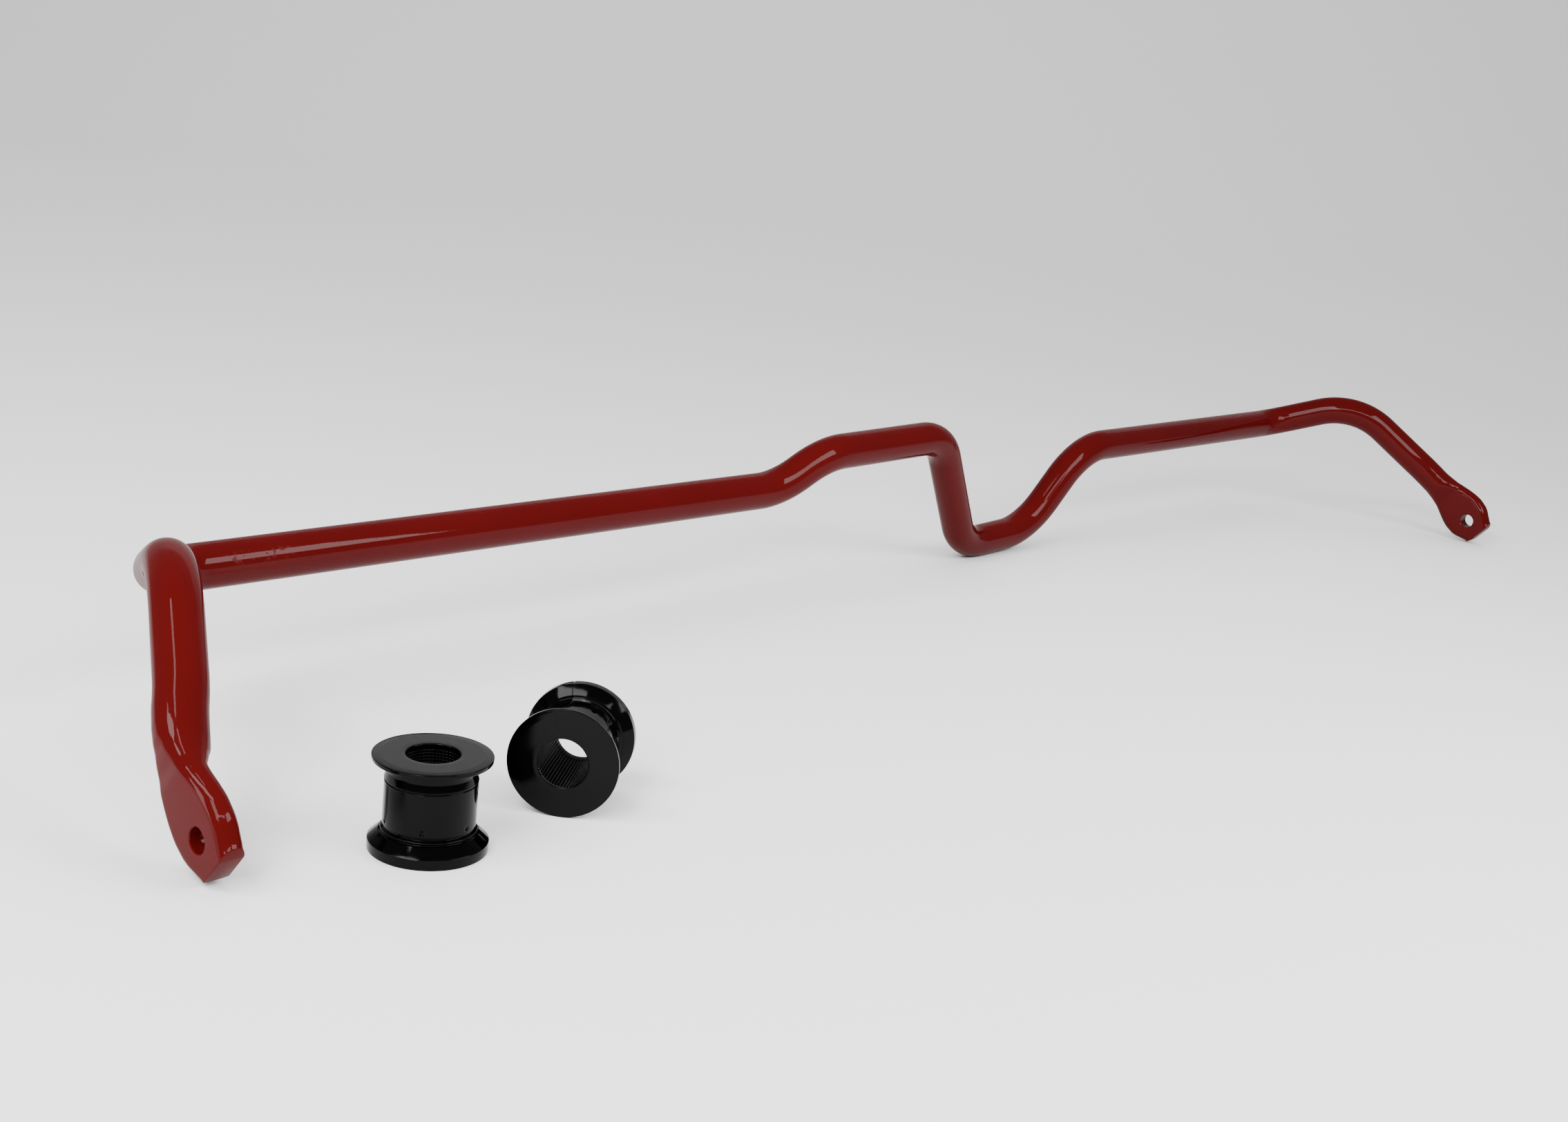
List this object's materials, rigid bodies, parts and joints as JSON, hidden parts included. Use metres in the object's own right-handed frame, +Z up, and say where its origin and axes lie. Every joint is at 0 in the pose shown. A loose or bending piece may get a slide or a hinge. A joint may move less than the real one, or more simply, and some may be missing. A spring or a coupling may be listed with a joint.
{
  "type": "sway bar",
  "caption": "Bent solid sway bar with forged flat eyes, a kinked middle that clears the driveline, and loose split spool bushes that carry it.",
  "frame": {"origin": "under the middle of the layout's bounding box, on the surface that the bar and both bushes rest on", "axes": "+X along the bar towards its kinked end, +Y from the eyes towards the straight bar, +Z up from the surface it rests on"},
  "size_m": [1.181, 0.2272, 0.1063],
  "materials": {
    "red_enamel": "glossy deep red enamel over forged spring steel",
    "black_polyurethane": "satin black moulded polyurethane, glossier on the barrel and cone"
  },
  "bodies": {
    "kinked_half": {"bar_kinked_half": "red_enamel"},
    "plain_half": {"bar_plain_half": "red_enamel"},
    "standing_bush": {"bush_standing": "black_polyurethane"},
    "lying_bush": {"bush_lying": "black_polyurethane"}
  },
  "joints": [
    {"name": "bar_wind_up", "type": "hinge", "parent": "kinked_half", "child": "plain_half", "pos_m": [-0.2, 0.09075, 0.0728], "axis": [1, 0, 0], "range_deg": [-15, 15], "stiffness_Nm_per_rad": 1600},
    {"name": "bush_standing_lift", "type": "slide", "parent": "kinked_half", "child": "standing_bush", "axis": [0, 0, 1], "range_m": [0, 0.15]},
    {"name": "bush_lying_lift", "type": "slide", "parent": "kinked_half", "child": "lying_bush", "axis": [0, 0, 1], "range_m": [0, 0.15]}
  ]
}
